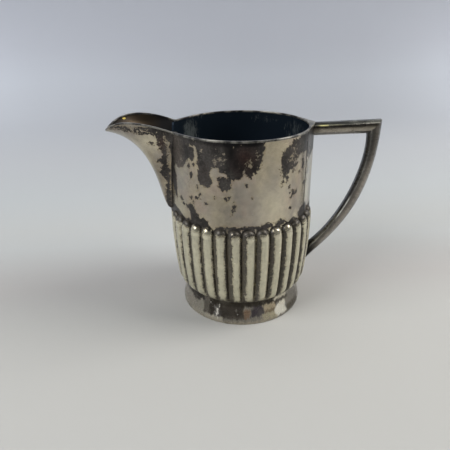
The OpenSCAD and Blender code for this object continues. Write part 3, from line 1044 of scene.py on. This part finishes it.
def make_spout_wire(material):
    end = seam_top_angle - wall_angle(joint)
    steps = 90
    rings = []
    for k in range(steps, -steps - 1, -1):
        v = abs(k) / steps
        side = 1 if k > 0 else -1
        p = bezier(lip, 1 - v)
        d = tangent(lip, 1 - v, guide_step / 2)
        out = np.array([-d[1], d[0]]) / np.hypot(d[0], d[1])
        ring = []
        profile = soft_section(-sheet_t, lip_over, p[2] - lip_h + joint, p[2], lip_round)
        for s, z in reversed(profile):
            x = p[0] + out[0] * s
            y = p[1] + out[1] * s
            if v == 1:
                x = y / math.tan(math.radians(end))
            ring.append((-x, side * y, z))
        rings.append(np.array(ring))
    loft("spout_wire_round", rings, "spout_wire", material)


# Handle
root_z = rim_z - rim_h / 2
root_d = handle_d - rim_h / 2
corner_out = np.array([handle_x, rim_z + handle_rise])
corner_in = corner_out - handle_d
# How far up the bar reaches where it is cut to the reeds, as a share of its depth
foot_slant = 1.64
inner_foot_z = handle_foot_z + foot_slant * handle_d


def handle_guide(run, height):
    return mix(wall_r, handle_x, run), mix(handle_foot_z, rim_z, height)


curve_out = np.array([
    corner_out, handle_guide(1.02, 0.345), handle_guide(0.25, 0.154),
    (crest_r(handle_foot_z), handle_foot_z),
])
curve_in = np.array([
    corner_in, handle_guide(0.877, 0.752), handle_guide(0.633, 0.345),
    (crest_r(inner_foot_z), inner_foot_z),
])


def bar_section():
    """Corners round the bar: share of its depth from its inner side, and how far out from its middle."""
    half = handle_b / 2
    crown = 0.22
    ease = 0.12
    flat = half - handle_bevel
    edge = handle_bevel / handle_d
    soft = ease / handle_d
    shares = np.concatenate([[0, 0.04], np.linspace(0.12, 0.88, 9), [0.96, 1]])
    face = [(mix(edge, 1 - edge, s), half - crown * (2 * s - 1) ** 2) for s in shares]
    near = [(0, 0), (0, flat - ease), (soft, flat + ease / 2), (edge - soft, half - crown - ease)]
    far = [(1 - s, out) for s, out in reversed(near[1:])]
    over = near + face + far
    return over + [(1, 0)] + [(s, -out) for s, out in reversed(over[1:])]


bar_corners = bar_section()


def bar_ring(inner, outer):
    points = [(mix(inner, outer, s), out) for s, out in bar_corners]
    return np.array([(p[0], out, p[1]) for p, out in points])


def add_bar_marks(piece, joint_at, reach, corner_shade, glints, glint_tone):
    """Solder as far as a reach from the joint, shade by the corner, places across the bar, and glints."""
    points = np.array([v.co[:] for v in piece.data.vertices]) / MM
    rings = len(points) // len(bar_corners)
    far = np.linalg.norm(points - np.array(joint_at), axis=1)
    add_values(piece, "solder", clamp((1 - far / reach) * 1.6))
    from_corner = np.hypot(points[:, 0] - handle_x, points[:, 2] - rim_z)
    add_values(piece, "corner_shade", corner_shade * fall(from_corner, 22.5, 8))
    add_values(piece, "across", [share for share, _ in bar_corners] * rings)
    shares = np.zeros(len(points))
    for axis, low, high, strength in glints:
        shares += strength * between(points[:, axis], low, high, 1.5)
    add_values(piece, "glint", clamp(shares))
    add_colours(piece, "glint_tone", np.tile(glint_tone, (len(points), 1)))


# Tones across the bars, with painted shade on the facets and painted highlight lines along the ridges:
# share of the depth from the inner side, and colour
top_shading_tones = [
    (0, 186, 185, 182), (0.1, 146, 144, 140), (0.2, 138, 134, 127), (0.27, 166, 160, 150),
    (0.45, 162, 154, 141), (0.55, 134, 126, 114), (0.66, 106, 100, 92), (0.76, 138, 132, 122),
    (0.79, 206, 202, 190), (0.82, 120, 120, 113), (0.91, 92, 92, 88), (0.97, 112, 112, 108),
    (1, 136, 137, 134),
]
curved_shading_tones = [
    (0, 122, 123, 125), (0.1, 122, 123, 125), (0.17, 148, 148, 147), (0.215, 182, 181, 178),
    (0.26, 136, 133, 128), (0.36, 114, 110, 105), (0.5, 126, 120, 113), (0.62, 156, 149, 141),
    (0.8, 158, 152, 144), (1, 132, 129, 126),
]
# Bright places along a ridge: axis that they are measured on, from, to, strength
top_glints = [(0, 36, 40.5, 0.9), (0, 41, 47, 0.2)]
curved_glints = [(2, 42, 52.5, 1), (2, 27, 29.5, 0.6)]
top_glint_tone = srgb(238, 230, 158)
curved_glint_tone = srgb(250, 249, 244)
ridge_share = handle_bevel / handle_d
# How deep the bars run into the rim's land and into the reeds
top_sunk = 1.2
curved_sunk = 0.9 * reed_depth
# Height of the solder under the curved bar's foot
solder_z = 22


def make_handle():
    seat = np.array([ridge_r + rim_over - top_sunk, root_z])
    depth = np.array([0, root_d])
    top_rings = [bar_ring(mix(corner_in, seat - depth, t), mix(corner_out, seat, t))
                 for t in np.linspace(0, 1, 30)]
    top_silver = handle_material("handle_silver", top_shading_tones, 1 - ridge_share)
    top = loft("handle_top_bar", top_rings, "handle_top_arm", top_silver, sharp=20)
    add_bar_marks(top, (seat[0] + 1, 0, root_z - 3), 4, 0, top_glints, top_glint_tone)
    sunk = np.array([curved_sunk, 0])
    curved_rings = [bar_ring(curve_in[3] - sunk, curve_out[3] - sunk)]
    for t in np.linspace(1, 0, 90):
        outer = np.minimum(bezier(curve_out, t), corner_out)
        curved_rings.append(bar_ring(bezier(curve_in, t), outer))
    curved_silver = handle_material("curved_silver", curved_shading_tones, ridge_share)
    curved = loft("handle_curved_bar", curved_rings, "handle_curved_arm", curved_silver,
                  sharp=20)
    add_bar_marks(curved, (crest_r(solder_z), 0, solder_z), 12, 0.5, curved_glints, curved_glint_tone)


# Stage: a pale floor that sweeps up behind the object
sweep_half = 900.0
sweep_near = 300.0
sweep_start = 60.0
sweep_r = 150.0
# Place along the sweep from its flat part's end, and the colour of the paper there, which carries painted
# shade and light along the sweep
sweep_shading_tones = [
    (-900, 184, 184, 179), (-108, 190, 189, 184), (-78, 189, 188, 183), (-45, 187, 184, 180),
    (0, 192, 194, 192), (24, 192, 194, 192), (60, 190, 194, 195), (100, 187, 190, 194),
    (130, 182, 186, 193), (172, 193, 198, 207), (200, 190, 194, 204), (900, 188, 191, 204),
]
# Painted light and shade across the paper: how much paler it is from left to right far back, and where
# along the sweep that holds
side_light_shares = [
    (-900, 0.16), (-200, 0.16), (-150, 0.05), (-100, -0.01), (-40, -0.08), (20, -0.13), (120, -0.13),
    (160, -0.06), (200, 0.06), (260, 0.08), (900, 0.08),
]
side_light_reach = [(0, 0), (60, 0), (110, 0.25), (140, 0.9), (185, 1), (215, 0.5), (245, 0.1), (900, 0)]


def make_stage():
    across = [-sweep_half] + list(np.linspace(-sweep_near, sweep_near, 25)) + [sweep_half]
    profile = [(y, 0.0, y - sweep_start) for y in np.linspace(-sweep_half, sweep_start, 60)]
    for angle in np.linspace(0, 90, 40)[1:]:
        profile.append((sweep_start + sweep_r * sin(angle), sweep_r * (1 - cos(angle)),
                        sweep_r * math.radians(angle)))
    top = profile[-1]
    profile += [(top[0], top[1] + h, top[2] + h) for h in (100.0, 300.0, 700.0)]
    points = [(x, y, z) for x in across for y, z, _ in profile]
    faces = [tuple(reversed(f)) for f in grid_faces(len(across), len(profile), False, False)]
    sweep = add_object("paper_sweep", make_mesh("paper_sweep", points, faces, [paper_material()]))
    along = np.tile([s for _, _, s in profile], len(across))
    keys = [key for key, *_ in sweep_shading_tones]
    colours = np.array([srgb(*rgb) for _, *rgb in sweep_shading_tones]).T
    tones = np.stack([np.interp(along, keys, channel) for channel in colours], -1)
    # Painted light and shade across the paper, far back
    side = look_up(side_light_shares, np.repeat(across, len(profile))) * look_up(side_light_reach, along)
    add_colours(sweep, "tone", tones * (1 + side[:, None]))


# Lamps: name, place, power and colour
lamp_size = 0.5
lamps = [
    ("key", (0.55, -0.05, 0.55), 4.1, (1.0, 0.98, 0.95)),
    ("fill", (-0.55, -0.3, 0.5), 3.75, (0.97, 0.98, 1.0)),
    ("top_back", (-0.1, 0.35, 0.7), 2.7, (1.0, 0.98, 0.95)),
]
# The room round it: its colour, and how bright it is in front and behind
room_tone = (0.92, 0.96, 1.0, 1)
room_front = 0.08
room_back = 0.6


def make_light(name, place, power, colour):
    lamp = bpy.data.lights.new(name, "AREA")
    lamp.shape = "DISK"
    lamp.size = lamp_size
    lamp.energy = power
    lamp.color = colour
    light = add_object(name, lamp)
    light.location = place
    aim = Vector((0, 0, rim_z / 2 * MM)) - light.location
    light.rotation_euler = aim.to_track_quat("-Z", "Y").to_euler()


def make_world():
    """Pale behind the object, and dark in front of it."""
    world = bpy.data.worlds.new("room")
    world.use_nodes = True
    tree = world.node_tree
    background = tree.nodes["Background"]
    background.inputs["Color"].default_value = room_tone
    place = tree.nodes.new("ShaderNodeTexCoord")
    parts = tree.nodes.new("ShaderNodeSeparateXYZ")
    shade = tree.nodes.new("ShaderNodeMapRange")
    shade.interpolation_type = "SMOOTHSTEP"
    settings = {"From Min": -0.5, "From Max": 0.5, "To Min": room_front, "To Max": room_back}
    for name, value in settings.items():
        shade.inputs[name].default_value = value
    tree.links.new(place.outputs["Generated"], parts.inputs[0])
    tree.links.new(parts.outputs["Y"], shade.inputs["Value"])
    tree.links.new(shade.outputs["Result"], background.inputs["Strength"])
    bpy.context.scene.world = world


# Photograph's camera: the object stands turned a little, and so the camera is set in its frame
camera_place = (-0.021743, -0.206870, 0.136710)
camera_turn = (1.1327, 0.0142, -0.0723)
sensor_mm = 36.0
lens_px = 451.0
image_px = 450.0


def make_camera():
    camera = bpy.data.cameras.new("photo_camera")
    camera.sensor_width = sensor_mm
    camera.lens = sensor_mm * lens_px / image_px
    camera.clip_start = 0.01
    holder = add_object("photo_camera", camera)
    holder.location = camera_place
    holder.rotation_euler = camera_turn
    bpy.context.scene.camera = holder


make_camera()
shell_silver = shell_material()
inner_silver = inner_material()
wire_silver = wire_material()
make_body(shell_silver, inner_silver)
make_foot(foot_material())
make_rim(wire_silver)
make_spout(shell_silver, inner_silver)
make_spout_wire(wire_silver)
make_handle()
# The base plate keeps the CAD's mesh
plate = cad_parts["base_plate"].data
plate.materials.clear()
plate.materials.append(base_material())
make_stage()
for lamp in lamps:
    make_light(*lamp)
make_world()
bpy.context.scene.view_settings.view_transform = "Standard"
